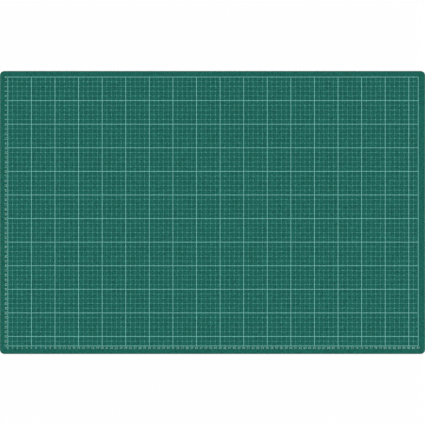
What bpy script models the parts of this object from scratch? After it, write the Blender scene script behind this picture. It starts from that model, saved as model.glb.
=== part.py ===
"""Self-healing craft cutting mat, 902 x 600 mm: five bonded plies under a printed measuring grid.

Metres, +Z up. The origin is the centre of the underside, +X runs along the long side, and +Y
points to the edge from which the printed scale counts down.
"""

import bmesh
import bpy

# Outline that every ply is die cut to
MAT_LENGTH = 0.902
MAT_WIDTH = 0.600
CORNER_RADIUS = 0.010
CORNER_STEPS = 12

# Rolled edge of the two cutting skins
LIP_RADIUS = 0.0003
LIP_STEPS = 3

# Plies
SKIN_THICKNESS = 0.0008
BACKING_THICKNESS = 0.0004
CORE_THICKNESS = 0.0004
BOND_GAP = 0.00005

# Bare border between the mat's edges and the middle of the grid's outer lines
MARGIN_LEFT = 0.0171
MARGIN_RIGHT = 0.0149
MARGIN_FAR = 0.0128
MARGIN_NEAR = 0.0172

# Printed grid
GRID_PITCH = 0.050
LINE_WIDTH = 0.0006
INK_THICKNESS = 0.00006
INK_GAP = 0.00002

# Colours of the plies and the ink, as linear red, green and blue
SKIN_GREEN = (0.012, 0.130, 0.098)
BACKING_GREEN = (0.010, 0.070, 0.055)
CORE_GREY = (0.230, 0.260, 0.235)
INK_MINT = (0.360, 0.850, 0.760)


def clear_scene():
    for item in list(bpy.data.objects):
        bpy.data.objects.remove(item, do_unlink=True)


def new_collection(name):
    collection = bpy.data.collections.new(name)
    bpy.context.scene.collection.children.link(collection)
    return collection


def plastic(name, colour, roughness):
    material = bpy.data.materials.new(name)
    material.use_nodes = True
    shader = material.node_tree.nodes["Principled BSDF"]
    shader.inputs["Base Color"].default_value = (*colour, 1.0)
    shader.inputs["Roughness"].default_value = roughness
    shader.inputs["Metallic"].default_value = 0.0
    return material


def round_off(bm, edges, radius, steps):
    bmesh.ops.bevel(
        bm, geom=edges, offset=radius, offset_type="OFFSET",
        segments=steps, profile=0.5, affect="EDGES", clamp_overlap=True,
    )


def is_upright(edge):
    first, second = edge.verts
    return abs(first.co.z - second.co.z) > abs((first.co - second.co).length) / 2


def flat_face(bm, side):
    """The slab's large face: side is 1 for the upper one and -1 for the lower one."""
    return max(bm.faces, key=lambda face: side * face.normal.z * face.calc_area())


def add_ply(collection, name, thickness, base, material, lip_side=0):
    """One ply: a slab with round corners, and a rolled edge on the side that is left open."""
    bm = bmesh.new()
    bmesh.ops.create_cube(bm, size=1.0)
    bmesh.ops.scale(bm, vec=(MAT_LENGTH, MAT_WIDTH, thickness), verts=bm.verts)
    round_off(bm, [edge for edge in bm.edges if is_upright(edge)], CORNER_RADIUS, CORNER_STEPS)
    if lip_side:
        bm.normal_update()
        rim = list(flat_face(bm, lip_side).edges)
        round_off(bm, rim, min(LIP_RADIUS, thickness / 2), LIP_STEPS)
    mesh = bpy.data.meshes.new(name)
    bm.to_mesh(mesh)
    bm.free()
    mesh.shade_smooth()
    mesh.set_sharp_from_angle(angle=0.6)
    mesh.materials.append(material)
    ply = bpy.data.objects.new(name, mesh)
    ply.location.z = base + thickness / 2
    collection.objects.link(ply)
    return base + thickness


def line_places(span):
    """Middles of the grid lines along one side: one at each pitch, and the outer line at span."""
    count = int((span - 2 * LINE_WIDTH) / GRID_PITCH) + 1
    return [number * GRID_PITCH for number in range(count)] + [span]


def line_edges(places):
    """Both edges of each line, in order, so that strips of ink and open cells take turns."""
    half = LINE_WIDTH / 2
    return [edge for place in places for edge in (place - half, place + half)]


def open_lattice(bm, across, along):
    """A flat grid with its rows and columns moved to the lines' edges, and its cells taken out."""
    columns = len(across) - 1
    rows = len(along) - 1
    bmesh.ops.create_grid(bm, x_segments=columns, y_segments=rows, size=0.5)
    slots = {vert: (round((vert.co.x + 0.5) * columns), round((vert.co.y + 0.5) * rows)) for vert in bm.verts}
    cells = []
    for face in bm.faces:
        column = min(slots[vert][0] for vert in face.verts)
        row = min(slots[vert][1] for vert in face.verts)
        if column % 2 and row % 2:
            cells.append(face)
    for vert, (column, row) in slots.items():
        vert.co.x = across[column]
        vert.co.y = along[row]
    bmesh.ops.delete(bm, geom=cells, context="FACES")


def add_printed_grid(collection, name, base, material):
    """The ink film: an open lattice of lines given the ink's thickness.

    Columns count from the left edge and rows from the far edge, so the last of each is the
    narrow one that is left over.
    """
    left = -MAT_LENGTH / 2 + MARGIN_LEFT
    right = MAT_LENGTH / 2 - MARGIN_RIGHT
    near = -MAT_WIDTH / 2 + MARGIN_NEAR
    far = MAT_WIDTH / 2 - MARGIN_FAR
    across = line_edges(left + place for place in line_places(right - left))
    along = line_edges(far - place for place in reversed(line_places(far - near)))

    bm = bmesh.new()
    open_lattice(bm, across, along)
    mesh = bpy.data.meshes.new(name)
    bm.to_mesh(mesh)
    bm.free()
    mesh.materials.append(material)
    film = bpy.data.objects.new(name, mesh)
    film.location.z = base + INK_THICKNESS / 2
    collection.objects.link(film)
    solidify = film.modifiers.new("ink_thickness", "SOLIDIFY")
    solidify.thickness = INK_THICKNESS
    solidify.offset = 0.0


def build_mat():
    clear_scene()
    collection = new_collection("cutting_mat")
    plies = [
        ("bottom_cutting_skin", SKIN_THICKNESS, SKIN_GREEN, 0.62, -1),
        ("lower_backing_ply", BACKING_THICKNESS, BACKING_GREEN, 0.55, 0),
        ("rigid_core_sheet", CORE_THICKNESS, CORE_GREY, 0.45, 0),
        ("upper_backing_ply", BACKING_THICKNESS, BACKING_GREEN, 0.55, 0),
        ("top_cutting_skin", SKIN_THICKNESS, SKIN_GREEN, 0.62, 1),
    ]
    top = -BOND_GAP
    for name, thickness, colour, roughness, lip_side in plies:
        material = plastic(name, colour, roughness)
        top = add_ply(collection, name, thickness, top + BOND_GAP, material, lip_side)
    add_printed_grid(collection, "printed_grid", top + INK_GAP, plastic("printed_grid", INK_MINT, 0.5))


build_mat()
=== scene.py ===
import math

import bpy
import numpy as np
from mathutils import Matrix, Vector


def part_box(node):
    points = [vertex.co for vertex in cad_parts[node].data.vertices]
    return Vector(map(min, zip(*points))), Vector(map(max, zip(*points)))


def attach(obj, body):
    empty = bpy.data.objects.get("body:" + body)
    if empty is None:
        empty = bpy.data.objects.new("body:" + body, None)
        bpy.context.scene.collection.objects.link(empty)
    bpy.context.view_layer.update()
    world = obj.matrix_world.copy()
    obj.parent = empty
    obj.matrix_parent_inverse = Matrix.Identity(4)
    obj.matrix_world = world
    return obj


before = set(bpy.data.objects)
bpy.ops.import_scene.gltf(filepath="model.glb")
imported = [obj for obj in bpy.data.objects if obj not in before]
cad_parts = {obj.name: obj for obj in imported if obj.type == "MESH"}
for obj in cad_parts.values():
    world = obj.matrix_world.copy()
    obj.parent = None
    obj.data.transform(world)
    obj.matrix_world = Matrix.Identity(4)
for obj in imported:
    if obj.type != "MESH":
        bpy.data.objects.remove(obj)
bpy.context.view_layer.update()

skinLow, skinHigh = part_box("top_cutting_skin")
gridLow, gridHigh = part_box("printed_grid")
skinTop = skinHigh[2]            # the face that the ink lies on


# The printed scale. Lines count from the left edge and, downwards, from the far edge.
scale = {
    "step": 0.010,               # from one fine line to the next
    "boldEvery": 5,              # each fifth one is a bold line, which the frame holds
    "sink": 0.00001,             # how far ink reaches into the skin, so that no gap shows
}

# The frame's grid is a whole number of steps plus the width of one bold line, which falls half
# outside the outer steps on either side.
stepsAcross = int((gridHigh[0] - gridLow[0]) / scale["step"])
stepsDown = int((gridHigh[1] - gridLow[1]) / scale["step"])
boldWidth = gridHigh[0] - gridLow[0] - stepsAcross * scale["step"]
gridLeft = gridLow[0] + boldWidth / 2
gridNear = gridLow[1] + boldWidth / 2
gridFar = gridHigh[1] - boldWidth / 2
print("scale of", stepsAcross, "by", stepsDown, "steps, bold lines", round(boldWidth, 5), "wide")


# Mesh from arrays: verts is n x 3, and faces is a list of index arrays, each with one corner count.
def meshFromArrays(name, verts, faces, material, slotName):
    corners = np.concatenate([block.ravel() for block in faces]).astype(np.int32)
    counts = np.concatenate([np.full(len(block), block.shape[1]) for block in faces])
    starts = np.concatenate([[0], np.cumsum(counts)[:-1]]).astype(np.int32)
    mesh = bpy.data.meshes.new(name)
    mesh.vertices.add(len(verts))
    mesh.vertices.foreach_set("co", np.ascontiguousarray(verts, np.float32).ravel())
    mesh.loops.add(len(corners))
    mesh.loops.foreach_set("vertex_index", corners)
    mesh.polygons.add(len(starts))
    mesh.polygons.foreach_set("loop_start", starts)
    mesh.update(calc_edges=True)
    mesh.polygons.foreach_set("use_smooth", np.zeros(len(starts), bool))
    mesh.materials.append(material)
    piece = bpy.data.objects.new(name, mesh)
    bpy.context.scene.collection.objects.link(piece)
    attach(piece, "root")
    print("made", name, len(verts), "points", len(starts), "faces")
    return piece


# Copies of one small shape: every place is added to the shape's points, and its faces are renumbered.
def repeated(shapeVerts, shapeFaces, places):
    verts = (places[:, None, :] + shapeVerts[None, :, :]).reshape(-1, 3)
    offsets = np.arange(len(places))[:, None, None] * len(shapeVerts)
    faces = [(block[None, :, :] + offsets).reshape(-1, block.shape[1]) for block in shapeFaces]
    return verts, faces


# Several shapes as one: each one's faces are renumbered past the points of those before it.
def joined(shapes):
    starts = np.cumsum([0] + [len(verts) for verts, faces in shapes])
    allFaces = [block + start for (verts, faces), start in zip(shapes, starts) for block in faces]
    return np.vstack([verts for verts, faces in shapes]), allFaces


mitreLimit = 0.55                # the least cosine of half a turn: a sharper one gets no longer mitre


# A profile carried along a flat path: at each path point the profile's first number is measured
# across the path, on the mitre of its two runs, and its second number is height. The mitre is
# stretched by 1 / cosine of half the turn, so that the bead keeps its width round it.
def ribbon(path, profile, closed):
    path = np.asarray(path, float)
    if closed:
        runs = np.roll(path, -1, axis=0) - path
    else:
        runs = np.diff(path, axis=0)
    runs /= np.linalg.norm(runs, axis=1)[:, None]
    if closed:
        before, after = np.roll(runs, 1, axis=0), runs
    else:
        before, after = np.vstack([runs[:1], runs]), np.vstack([runs, runs[-1:]])
    mean = before + after
    mean /= np.linalg.norm(mean, axis=1)[:, None]
    stretch = 1.0 / np.clip((mean * after).sum(axis=1), mitreLimit, 1.0)
    across = np.stack([-mean[:, 1], mean[:, 0]], axis=1) * stretch[:, None]
    flat = path[:, None, :] + across[:, None, :] * profile[None, :, :1]
    high = np.broadcast_to(profile[None, :, 1:], (len(path), len(profile), 1))
    verts = np.concatenate([flat, high], axis=2).reshape(-1, 3)
    ring = len(profile)
    near = np.arange(len(path) if closed else len(path) - 1)
    far = (near + 1) % len(path)
    side = np.arange(ring)
    nextSide = (side + 1) % ring
    quads = np.stack([
        near[:, None] * ring + side, near[:, None] * ring + nextSide,
        far[:, None] * ring + nextSide, far[:, None] * ring + side,
    ], axis=2).reshape(-1, 4)
    faces = [quads]
    if not closed:
        lastRing = (len(path) - 1) * ring
        faces.append(np.stack([side[::-1], lastRing + side]))
    return verts, faces


# A flat-topped bead of ink, as (across, height) points from its left foot over the top to its right
# foot. Each side leans in by the slope times the width.
def flatBead(width, height, slope=0.12):
    foot = width / 2
    top = foot - slope * width
    return np.array([(foot, 0.0), (top, height), (-top, height), (-foot, 0.0)])


# A crowned bead: a foot on each side and one ridge.
def crownedBead(width, height):
    return np.array([(width / 2, 0.0), (0.0, height), (-width / 2, 0.0)])


# Node helpers
def addNode(tree, kind, **values):
    node = tree.nodes.new(kind)
    for name, value in values.items():
        if name in node.inputs:
            node.inputs[name].default_value = value
        else:
            setattr(node, name, value)
    return node


def mathNode(tree, operation, first, second=None):
    node = addNode(tree, "ShaderNodeMath", operation=operation)
    for number, value in enumerate([first, second]):
        if value is None:
            continue
        if hasattr(value, "links"):
            tree.links.new(value, node.inputs[number])
        else:
            node.inputs[number].default_value = value
    return node.outputs[0]


# A node group whose sockets are plain numbers, with the values that its inputs start from.
def newGroup(name, inputs, outputs):
    tree = bpy.data.node_groups.new(name, "ShaderNodeTree")
    for title, value in inputs.items():
        socket = tree.interface.new_socket(title, in_out="INPUT", socket_type="NodeSocketFloat")
        socket.default_value = value
    for title in outputs:
        tree.interface.new_socket(title, in_out="OUTPUT", socket_type="NodeSocketFloat")
    return tree, tree.nodes.new("NodeGroupInput"), tree.nodes.new("NodeGroupOutput")


# Matt emboss: rounded pebbles with a finer tooth over them, height = 1 - distance from the pebble's
# middle + tooth x noise.
def makeEmbossGroup():
    toothFineness = 2.3          # how many times finer the tooth is than the pebbles
    tree, given, made = newGroup("mattEmboss", {"Pebbles per metre": 1500.0, "Tooth": 0.35}, ["Height"])
    place = addNode(tree, "ShaderNodeTexCoord")
    pebbles = addNode(tree, "ShaderNodeTexVoronoi", feature="SMOOTH_F1", Smoothness=0.6, Randomness=0.9)
    tooth = addNode(tree, "ShaderNodeTexNoise", Detail=2.0, Roughness=0.6)
    tree.links.new(place.outputs["Object"], pebbles.inputs["Vector"])
    tree.links.new(place.outputs["Object"], tooth.inputs["Vector"])
    tree.links.new(given.outputs["Pebbles per metre"], pebbles.inputs["Scale"])
    fineScale = mathNode(tree, "MULTIPLY", given.outputs["Pebbles per metre"], toothFineness)
    tree.links.new(fineScale, tooth.inputs["Scale"])
    dome = mathNode(tree, "SUBTRACT", 1.0, pebbles.outputs["Distance"])
    grit = mathNode(tree, "MULTIPLY", tooth.outputs["Fac"], given.outputs["Tooth"])
    tree.links.new(mathNode(tree, "ADD", dome, grit), made.inputs["Height"])
    return tree


# Slow drift of tone over the sheet, as a factor about 1: 1 + drift x (2 x noise - 1).
def makeDriftGroup():
    tree, given, made = newGroup("sheetDrift", {"Drift": 0.04, "Drifts per metre": 9.0}, ["Factor"])
    place = addNode(tree, "ShaderNodeTexCoord")
    slow = addNode(tree, "ShaderNodeTexNoise", Detail=3.0, Roughness=0.55)
    tree.links.new(place.outputs["Object"], slow.inputs["Vector"])
    tree.links.new(given.outputs["Drifts per metre"], slow.inputs["Scale"])
    signed = mathNode(tree, "SUBTRACT", mathNode(tree, "MULTIPLY", slow.outputs["Fac"], 2.0), 1.0)
    swing = mathNode(tree, "MULTIPLY", signed, given.outputs["Drift"])
    tree.links.new(mathNode(tree, "ADD", swing, 1.0), made.inputs["Factor"])
    return tree


# Matt grain: small grains, each with a tone of its own, under a coarser mottle, which is noise with
# its middle range stretched: mask = grain x (1 - mottle share) + mottle x mottle share.
def makeGrainGroup():
    middleRange = (0.38, 0.62)   # the part of the noise that is stretched over 0 to 1
    inputs = {"Grains per metre": 1400.0, "Mottles per metre": 480.0, "Mottle share": 0.55}
    tree, given, made = newGroup("mattGrain", inputs, ["Mask"])
    place = addNode(tree, "ShaderNodeTexCoord")
    grain = addNode(tree, "ShaderNodeTexVoronoi", feature="F1")
    mottle = addNode(tree, "ShaderNodeTexNoise", Detail=3.0, Roughness=0.7)
    for texture, title in [(grain, "Grains per metre"), (mottle, "Mottles per metre")]:
        tree.links.new(place.outputs["Object"], texture.inputs["Vector"])
        tree.links.new(given.outputs[title], texture.inputs["Scale"])
    channels = addNode(tree, "ShaderNodeSeparateColor")
    tree.links.new(grain.outputs["Color"], channels.inputs[0])
    stretch = addNode(tree, "ShaderNodeMapRange")
    stretch.inputs["From Min"].default_value = middleRange[0]
    stretch.inputs["From Max"].default_value = middleRange[1]
    tree.links.new(mottle.outputs["Fac"], stretch.inputs["Value"])
    blend = addNode(tree, "ShaderNodeMix", data_type="FLOAT")
    tree.links.new(given.outputs["Mottle share"], blend.inputs["Factor"])
    tree.links.new(channels.outputs["Red"], blend.inputs["A"])
    tree.links.new(stretch.outputs["Result"], blend.inputs["B"])
    tree.links.new(blend.outputs["Result"], made.inputs["Mask"])
    return tree


# Die-cut edge: a mask that is 1 where the surface faces sideways, and the knife's drag marks as height.
def makeEdgeGroup():
    faceEnds, edgeBegins = 0.85, 0.25        # the normal's upright share where the mask is 0 and 1
    markSquash = 0.12                        # heights count this little, so that marks run up the edge
    tree, given, made = newGroup("dieCutEdge", {"Marks per metre": 900.0}, ["Mask", "Height"])
    place = addNode(tree, "ShaderNodeTexCoord")
    parts = addNode(tree, "ShaderNodeSeparateXYZ")
    tree.links.new(place.outputs["Normal"], parts.inputs[0])
    uprightShare = mathNode(tree, "ABSOLUTE", parts.outputs["Z"])
    ramp = addNode(tree, "ShaderNodeMapRange", interpolation_type="SMOOTHSTEP")
    ramp.inputs["From Min"].default_value = faceEnds
    ramp.inputs["From Max"].default_value = edgeBegins
    tree.links.new(uprightShare, ramp.inputs["Value"])
    tree.links.new(ramp.outputs["Result"], made.inputs["Mask"])
    squash = addNode(tree, "ShaderNodeMapping")
    squash.inputs["Scale"].default_value = (1.0, 1.0, markSquash)
    marks = addNode(tree, "ShaderNodeTexNoise", Detail=3.0, Roughness=0.65)
    tree.links.new(place.outputs["Object"], squash.inputs["Vector"])
    tree.links.new(squash.outputs["Vector"], marks.inputs["Vector"])
    tree.links.new(given.outputs["Marks per metre"], marks.inputs["Scale"])
    tree.links.new(marks.outputs["Fac"], made.inputs["Height"])
    return tree


embossGroup = makeEmbossGroup()
driftGroup = makeDriftGroup()
grainGroup = makeGrainGroup()
edgeGroup = makeEdgeGroup()


# A group in a material, with values of its own for the inputs named, where _ stands for a space.
def placeGroup(tree, group, **values):
    node = addNode(tree, "ShaderNodeGroup")
    node.node_tree = group
    for title, value in values.items():
        node.inputs[title.replace("_", " ")].default_value = value
    return node


def newMaterial(name, roughness, specular):
    material = bpy.data.materials.new(name)
    material.use_nodes = True
    tree = material.node_tree
    shader = tree.nodes["Principled BSDF"]
    shader.inputs["Roughness"].default_value = roughness
    shader.inputs["Specular IOR Level"].default_value = specular
    return material, tree, shader


# A colour is three numbers, or a socket that gives it.
def setColour(tree, colour, socket):
    if hasattr(colour, "links"):
        tree.links.new(colour, socket)
    else:
        socket.default_value = (*colour, 1.0)


# From the first colour, where the mask is 0, to the second, where it is 1.
def blendColours(tree, mask, first, second):
    mix = addNode(tree, "ShaderNodeMix", data_type="RGBA")
    tree.links.new(mask, mix.inputs["Factor"])
    setColour(tree, first, mix.inputs["A"])
    setColour(tree, second, mix.inputs["B"])
    return mix.outputs["Result"]


# Colour times the drift factor, so that a factor of 1 leaves the colour as it is.
def driftingColour(tree, colour, factor):
    mix = addNode(tree, "ShaderNodeMix", data_type="RGBA", blend_type="MULTIPLY")
    mix.inputs["Factor"].default_value = 1.0
    setColour(tree, colour, mix.inputs["A"])
    tree.links.new(factor, mix.inputs["B"])
    return mix.outputs["Result"]


# A height of 1 in the pattern stands for a relief of this many metres.
def addBump(tree, shader, height, relief):
    bump = addNode(tree, "ShaderNodeBump", Strength=1.0, Distance=relief)
    tree.links.new(height, bump.inputs["Height"])
    tree.links.new(bump.outputs["Normal"], shader.inputs["Normal"])


# Soft PVC of the two cutting skins
skinLook = {
    "deepGreen": (0.0003, 0.049, 0.033),
    "paleGreen": (0.0161, 0.197, 0.154),
    "cutGreen": (0.012, 0.135, 0.102),    # the die-cut edge
    "roughness": 0.62,
    "specular": 0.10,
    "relief": 0.00003,
    "topDrift": 0.04,                     # how far the tone drifts over the sheet
    "undersideDrift": 0.07,
}


def makeSkinMaterial(name, look, drift):
    material, tree, shader = newMaterial(name, look["roughness"], look["specular"])
    grain = placeGroup(tree, grainGroup)
    tone = placeGroup(tree, driftGroup, Drift=drift)
    emboss = placeGroup(tree, embossGroup)
    edge = placeGroup(tree, edgeGroup)
    face = blendColours(tree, grain.outputs["Mask"], look["deepGreen"], look["paleGreen"])
    whole = blendColours(tree, edge.outputs["Mask"], face, look["cutGreen"])
    tree.links.new(driftingColour(tree, whole, tone.outputs["Factor"]), shader.inputs["Base Color"])
    heights = addNode(tree, "ShaderNodeMix", data_type="FLOAT")
    tree.links.new(edge.outputs["Mask"], heights.inputs["Factor"])
    tree.links.new(emboss.outputs["Height"], heights.inputs["A"])
    tree.links.new(edge.outputs["Height"], heights.inputs["B"])
    addBump(tree, shader, heights.outputs["Result"], look["relief"])
    return material


# Inner plies, seen only as stripes at the cut edge
plyLook = {
    "backing": (0.010, 0.070, 0.055),
    "core": (0.200, 0.235, 0.205),
    "roughness": 0.55,
    "specular": 0.3,
    "relief": 0.00004,
    "drift": 0.14,
    "driftsPerMetre": 120.0,
}


def makePlyMaterial(name, look, colour):
    material, tree, shader = newMaterial(name, look["roughness"], look["specular"])
    tone = placeGroup(tree, driftGroup, Drift=look["drift"], Drifts_per_metre=look["driftsPerMetre"])
    edge = placeGroup(tree, edgeGroup)
    tree.links.new(driftingColour(tree, colour, tone.outputs["Factor"]), shader.inputs["Base Color"])
    addBump(tree, shader, edge.outputs["Height"], look["relief"])
    return material


# Screen ink, slightly translucent over the green
inkLook = {
    "bold": (0.375, 0.92, 0.85),
    "boldThin": (0.30, 0.84, 0.765),      # over the hollows of the grain
    "fine": (0.28, 0.88, 0.78),
    "fineThin": (0.17, 0.56, 0.49),
    "numeral": (0.51, 0.85, 0.76),       # the figures are a paler, greyer ink than the lines
    "numeralThin": (0.37, 0.69, 0.61),
    "roughness": 0.5,
    "specular": 0.25,
    "relief": 0.000015,
    "mottleShare": 0.2,
    "drift": 0.05,
    "driftsPerMetre": 14.0,
}


def makeInkMaterial(name, look, full, thin):
    material, tree, shader = newMaterial(name, look["roughness"], look["specular"])
    grain = placeGroup(tree, grainGroup, Mottle_share=look["mottleShare"])
    tone = placeGroup(tree, driftGroup, Drift=look["drift"], Drifts_per_metre=look["driftsPerMetre"])
    emboss = placeGroup(tree, embossGroup)
    laid = blendColours(tree, grain.outputs["Mask"], thin, full)
    tree.links.new(driftingColour(tree, laid, tone.outputs["Factor"]), shader.inputs["Base Color"])
    addBump(tree, shader, emboss.outputs["Height"], look["relief"])
    return material


def dressNode(name, material):
    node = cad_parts[name]
    for place in node.material_slots:
        place.material = material


topSkin = makeSkinMaterial("topSkinPvc", skinLook, skinLook["topDrift"])
undersideSkin = makeSkinMaterial("undersideSkinPvc", skinLook, skinLook["undersideDrift"])
backingPly = makePlyMaterial("backingPvc", plyLook, plyLook["backing"])
corePly = makePlyMaterial("corePvc", plyLook, plyLook["core"])
boldInk = makeInkMaterial("boldInk", inkLook, inkLook["bold"], inkLook["boldThin"])
fineInk = makeInkMaterial("fineInk", inkLook, inkLook["fine"], inkLook["fineThin"])
numeralInk = makeInkMaterial("numeralInk", inkLook, inkLook["numeral"], inkLook["numeralThin"])
dressNode("top_cutting_skin", topSkin)
dressNode("bottom_cutting_skin", undersideSkin)
dressNode("upper_backing_ply", backingPly)
dressNode("lower_backing_ply", backingPly)
dressNode("rigid_core_sheet", corePly)
dressNode("printed_grid", boldInk)
print("plies and bold grid dressed")


# The 10 mm lines, printed as short dashes
dashLines = {
    "width": 0.00033,
    "length": 0.0016,
    "perStep": 4,                # dashes from one fine line to the next
    "height": 0.00003,
}


# Where dashes stand on one line: a count of dash pitches from its start, without the places where it
# meets another line, which have a mark of their own.
def dashNumbers(steps):
    numbers = np.arange(1, steps * dashLines["perStep"])
    return numbers[numbers % dashLines["perStep"] != 0]


# The steps at which fine lines run: all but the ends and the bold ones.
def fineNumbers(steps):
    numbers = np.arange(1, steps)
    return numbers[numbers % scale["boldEvery"] != 0]


# The steps at which bold lines run, the last of which need not be a whole pitch from the one before.
def boldNumbers(steps):
    return np.append(np.arange(0, steps, scale["boldEvery"]), steps)


# Points on the skin for every pair of a column and a row, both counted in steps.
def skinPlaces(columns, rows):
    column, row = [grid.ravel() for grid in np.meshgrid(columns, rows)]
    return np.column_stack([
        gridLeft + column * scale["step"], gridFar - row * scale["step"],
        np.full(len(column), skinTop - scale["sink"]),
    ])


# One dash with its middle at the origin, repeated at each dash number of each fine line.
def dashesOnLines(name, alongX):
    half = dashLines["length"] / 2
    if alongX:
        path = [(-half, 0.0), (half, 0.0)]
        places = skinPlaces(dashNumbers(stepsAcross) / dashLines["perStep"], fineNumbers(stepsDown))
    else:
        path = [(0.0, -half), (0.0, half)]
        places = skinPlaces(fineNumbers(stepsAcross), dashNumbers(stepsDown) / dashLines["perStep"])
    bead = crownedBead(dashLines["width"], dashLines["height"] + scale["sink"])
    verts, faces = repeated(*ribbon(path, bead, False), places)
    return meshFromArrays(name, verts, faces, fineInk, "printed_grid")


dashesOnLines("dashed_lines_along", True)
dashesOnLines("dashed_lines_across", False)


# The cross marks where two fine lines meet
crossMarks = {"arm": 0.00077, "width": 0.00059, "height": 0.000035}


# A plus-shaped outline: the corner (half, half) and two arm corners, turned through four quarters.
def crossOutline(arm, half):
    quarter = np.array([(half, half), (half, arm), (-half, arm)])
    turns = [np.array([(math.cos(a), -math.sin(a)), (math.sin(a), math.cos(a))])
             for a in np.arange(4) * math.pi / 2]
    return np.vstack([quarter @ turn.T for turn in turns])


# The outline as a ring of points in the skin and one at the top, with walls between and two caps.
def makeCrossMarks():
    outline = crossOutline(crossMarks["arm"], crossMarks["width"] / 2)
    count = len(outline)
    top = crossMarks["height"] + scale["sink"]
    shape = np.vstack([
        np.column_stack([outline, np.zeros(count)]),
        np.column_stack([outline, np.full(count, top)]),
    ])
    ring = np.arange(count)
    after = (ring + 1) % count
    walls = np.stack([ring, after, count + after, count + ring], axis=1)
    caps = np.stack([ring[::-1], count + ring])
    places = skinPlaces(fineNumbers(stepsAcross), fineNumbers(stepsDown))
    verts, faces = repeated(shape, [walls, caps], places)
    return meshFromArrays("cross_marks", verts, faces, fineInk, "printed_grid")


makeCrossMarks()


# The ticks with which fine lines cross the bold ones. On the outer lines they only point inwards,
# and the right-hand outer line has none.
boldTicks = {"arm": 0.0012, "width": 0.0006, "height": 0.000035}


# One straight bead for each kind of tick, repeated at the meetings of lines that have it.
def makeBoldTicks():
    middle, right, left = (0.0, 0.0), (boldTicks["arm"], 0.0), (-boldTicks["arm"], 0.0)
    away, towards = (0.0, boldTicks["arm"]), (0.0, -boldTicks["arm"])
    columns, rows = boldNumbers(stepsAcross)[:-1], boldNumbers(stepsDown)
    bead = flatBead(boldTicks["width"], boldTicks["height"] + scale["sink"])
    kinds = [
        ((left, right), columns[1:], fineNumbers(stepsDown)),
        ((middle, right), columns[:1], fineNumbers(stepsDown)),
        ((away, towards), fineNumbers(stepsAcross), rows[1:-1]),
        ((middle, towards), fineNumbers(stepsAcross), rows[:1]),
        ((middle, away), fineNumbers(stepsAcross), rows[-1:]),
    ]
    shapes = [repeated(*ribbon(path, bead, False), skinPlaces(*numbers)) for path, *numbers in kinds]
    return meshFromArrays("bold_line_ticks", *joined(shapes), fineInk, "printed_grid")


makeBoldTicks()


# Numerals of the centimetre scale, drawn with a pen of even width
numerals = {
    "height": 0.0045,
    "width": 0.0025,
    "space": 0.0007,             # between the two figures of a number
    "pen": 0.0004,
    "ink": 0.00004,
    "overlap": 0.000003,         # each later stroke of a figure is this much thicker
    "leftGap": 0.0041,           # from the outer line to the middle of the figures
    "nearGap": 0.0041,
}


# Points on an ellipse from one angle to another, in degrees, anticlockwise if the second is larger:
# middle + (across radius x cosine, upright radius x sine).
def arcPoints(middle, radii, first, last, count=13):
    angles = np.radians(np.linspace(first, last, count))
    return np.column_stack([middle[0] + radii[0] * np.cos(angles), middle[1] + radii[1] * np.sin(angles)])


# A whole ellipse from its top, without the last point, which would repeat the first.
def loopPoints(middle, radii, count=24):
    return arcPoints(middle, radii, 90, 450, count + 1)[:-1]


# An open stroke with straight runs
def straight(*points):
    return np.array(points), False


# Each figure as pen strokes in a box 1 wide and 1 high, with True for a stroke that closes on itself.
# A figure is lifted into a new stroke at each sharp turn, where one mitre would pinch the pen's width.
def figureStrokes():
    six = [
        (loopPoints((0.5, 0.31), (0.48, 0.31)), True),
        (arcPoints((0.95, 0.31), (0.93, 0.69), 180, 98), False),
    ]
    twoHook = np.vstack([arcPoints((0.5, 0.70), (0.46, 0.30), 165, -38), [(0.05, 0.03)]])
    return {
        "0": [(loopPoints((0.5, 0.5), (0.5, 0.5), 28), True)],
        "1": [straight((0.58, 0.0), (0.58, 1.0)), straight((0.16, 0.76), (0.52, 0.965))],
        "2": [straight((-0.02, 0.0), (1.0, 0.0)), (twoHook, False)],
        "3": [
            (arcPoints((0.46, 0.75), (0.44, 0.25), 155, -90), False),
            (arcPoints((0.46, 0.25), (0.52, 0.25), 90, -155), False),
        ],
        "4": [straight((0.74, 0.0), (0.74, 1.0)), straight((0.72, 0.975), (0.0, 0.28), (1.0, 0.28))],
        "5": [
            straight((0.92, 1.0), (0.18, 1.0), (0.10, 0.54)),
            (arcPoints((0.48, 0.33), (0.50, 0.33), 138, -152), False),
        ],
        "6": six,
        "7": [straight((0.0, 1.0), (1.0, 1.0), (0.36, 0.0))],
        "8": [
            (loopPoints((0.5, 0.755), (0.42, 0.245)), True),
            (loopPoints((0.5, 0.265), (0.5, 0.265)), True),
        ],
        "9": [(1.0 - points, closed) for points, closed in six],
    }


# One figure as a mesh with its middle at the origin: the strokes are stretched to the figure's size
# less the pen's width, and each is a flat-topped bead.
def figureMesh(strokes, turn):
    size = np.array([numerals["width"] - numerals["pen"], numerals["height"] - numerals["pen"]])
    shapes = []
    for order, (points, closed) in enumerate(strokes):
        bead = flatBead(numerals["pen"], numerals["ink"] + scale["sink"] + order * numerals["overlap"])
        shapes.append(ribbon(((points - 0.5) * size) @ turn.T, bead, closed))
    return joined(shapes)


# Numbers count along the scale from start, one for each step. The figures of a number stand side by
# side about its line, in the direction of writing.
def makeNumerals(name, count, start, step, writing, turn):
    strokes = figureStrokes()
    advance = numerals["width"] + numerals["space"]
    spots = {figure: [] for figure in strokes}
    for number in range(count + 1):
        text = str(number)
        for order, figure in enumerate(text):
            shift = (order - (len(text) - 1) / 2) * advance
            spots[figure].append(start + number * step + shift * writing)
    shapes = []
    for figure, places in spots.items():
        places = np.column_stack([np.array(places), np.full(len(places), skinTop - scale["sink"])])
        shapes.append(repeated(*figureMesh(strokes[figure], turn), places))
    return meshFromArrays(name, *joined(shapes), numeralInk, "printed_grid")


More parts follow.
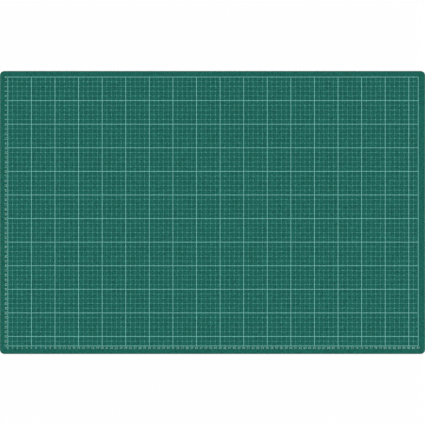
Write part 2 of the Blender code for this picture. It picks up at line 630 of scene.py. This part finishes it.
upright = np.eye(2)
quarterTurn = np.array([(0.0, 1.0), (-1.0, 0.0)])      # clockwise, so that the figures' tops face +X
makeNumerals(
    "numerals_near_edge", stepsAcross, np.array([gridLeft, gridNear - numerals["nearGap"]]),
    np.array([scale["step"], 0.0]), np.array([1.0, 0.0]), upright,
)
makeNumerals(
    "numerals_left_edge", stepsDown, np.array([gridLeft - numerals["leftGap"], gridFar]),
    np.array([0.0, -scale["step"]]), np.array([0.0, -1.0]), quarterTurn,
)


# Pale floor, soft light and a white surround
studio = {
    "floorSize": 14.0,
    "floorDrop": 0.0002,
    "floorWhite": 0.95,
    "floorGlow": 0.95,           # share of plain white that the camera sees on the floor
    "skyStrength": 0.50,
    "lampPower": 22.6,
    "lampSize": 1.8,
    "lampPlaces": [(2.3, 1.6, 1.9), (-2.3, 1.6, 1.9), (2.3, -1.6, 1.9), (-2.3, -1.6, 1.9)],
}


# 1 for rays from the camera, from gloss and through glass, and 0 for those that light the object.
def seenRays(tree):
    rays = addNode(tree, "ShaderNodeLightPath")
    total = mathNode(tree, "ADD", rays.outputs["Is Camera Ray"], rays.outputs["Is Glossy Ray"])
    total = mathNode(tree, "ADD", total, rays.outputs["Is Transmission Ray"])
    return mathNode(tree, "MINIMUM", total, 1.0)


def makeFloor():
    half = studio["floorSize"] / 2
    mesh = bpy.data.meshes.new("floor")
    corners = [(-half, -half), (half, -half), (half, half), (-half, half)]
    mesh.from_pydata([(x, y, -studio["floorDrop"]) for x, y in corners], [], [(0, 1, 2, 3)])
    floor = bpy.data.objects.new("floor", mesh)
    bpy.context.scene.collection.objects.link(floor)
    material = bpy.data.materials.new("paleFloor")
    material.use_nodes = True
    tree = material.node_tree
    tree.nodes.clear()
    out = addNode(tree, "ShaderNodeOutputMaterial")
    matt = addNode(tree, "ShaderNodeBsdfDiffuse")
    matt.inputs["Color"].default_value = (studio["floorWhite"],) * 3 + (1.0,)
    white = addNode(tree, "ShaderNodeEmission")
    mix = addNode(tree, "ShaderNodeMixShader")
    tree.links.new(mathNode(tree, "MULTIPLY", seenRays(tree), studio["floorGlow"]), mix.inputs["Fac"])
    tree.links.new(matt.outputs[0], mix.inputs[1])
    tree.links.new(white.outputs[0], mix.inputs[2])
    tree.links.new(mix.outputs[0], out.inputs["Surface"])
    mesh.materials.append(material)


def makeSky():
    world = bpy.data.worlds.new("studioSky")
    bpy.context.scene.world = world
    world.use_nodes = True
    tree = world.node_tree
    sky = tree.nodes["Background"]
    sky.inputs["Color"].default_value = (1.0, 1.0, 1.0, 1.0)
    lift = mathNode(tree, "MULTIPLY", seenRays(tree), 1.0 - studio["skyStrength"])
    tree.links.new(mathNode(tree, "ADD", lift, studio["skyStrength"]), sky.inputs["Strength"])


# Each lamp is turned to look at the origin: tilted from the upright, then turned about it.
def makeLamps():
    for number, place in enumerate(studio["lampPlaces"]):
        lamp = bpy.data.lights.new("softLamp%d" % number, "AREA")
        lamp.shape = "DISK"
        lamp.size = studio["lampSize"]
        lamp.energy = studio["lampPower"]
        holder = bpy.data.objects.new(lamp.name, lamp)
        holder.location = place
        away = np.array(place) / np.linalg.norm(place)
        holder.rotation_euler = (math.acos(away[2]), 0.0, math.atan2(away[0], -away[1]))
        bpy.context.scene.collection.objects.link(holder)


# The camera looks straight down, and the mat's printed face fills the width of the frame:
# distance = lens / sensor x width / share of the frame's width.
viewpoint = {
    "lens": 100.0,
    "sensor": 36.0,
    "fill": 1.0012,             # a touch over 1, so that both short edges pass the frame's sides
}


def makeCamera():
    data = bpy.data.cameras.new("camera")
    data.lens = viewpoint["lens"]
    data.sensor_width = viewpoint["sensor"]
    camera = bpy.data.objects.new("camera", data)
    width = skinHigh[0] - skinLow[0]
    camera.location = (
        (skinLow[0] + skinHigh[0]) / 2, (skinLow[1] + skinHigh[1]) / 2,
        skinTop + width * viewpoint["lens"] / viewpoint["sensor"] / viewpoint["fill"],
    )
    bpy.context.scene.collection.objects.link(camera)
    bpy.context.scene.camera = camera


makeFloor()
makeSky()
makeLamps()
makeCamera()
bpy.context.scene.view_settings.view_transform = "Standard"
print("studio ready")
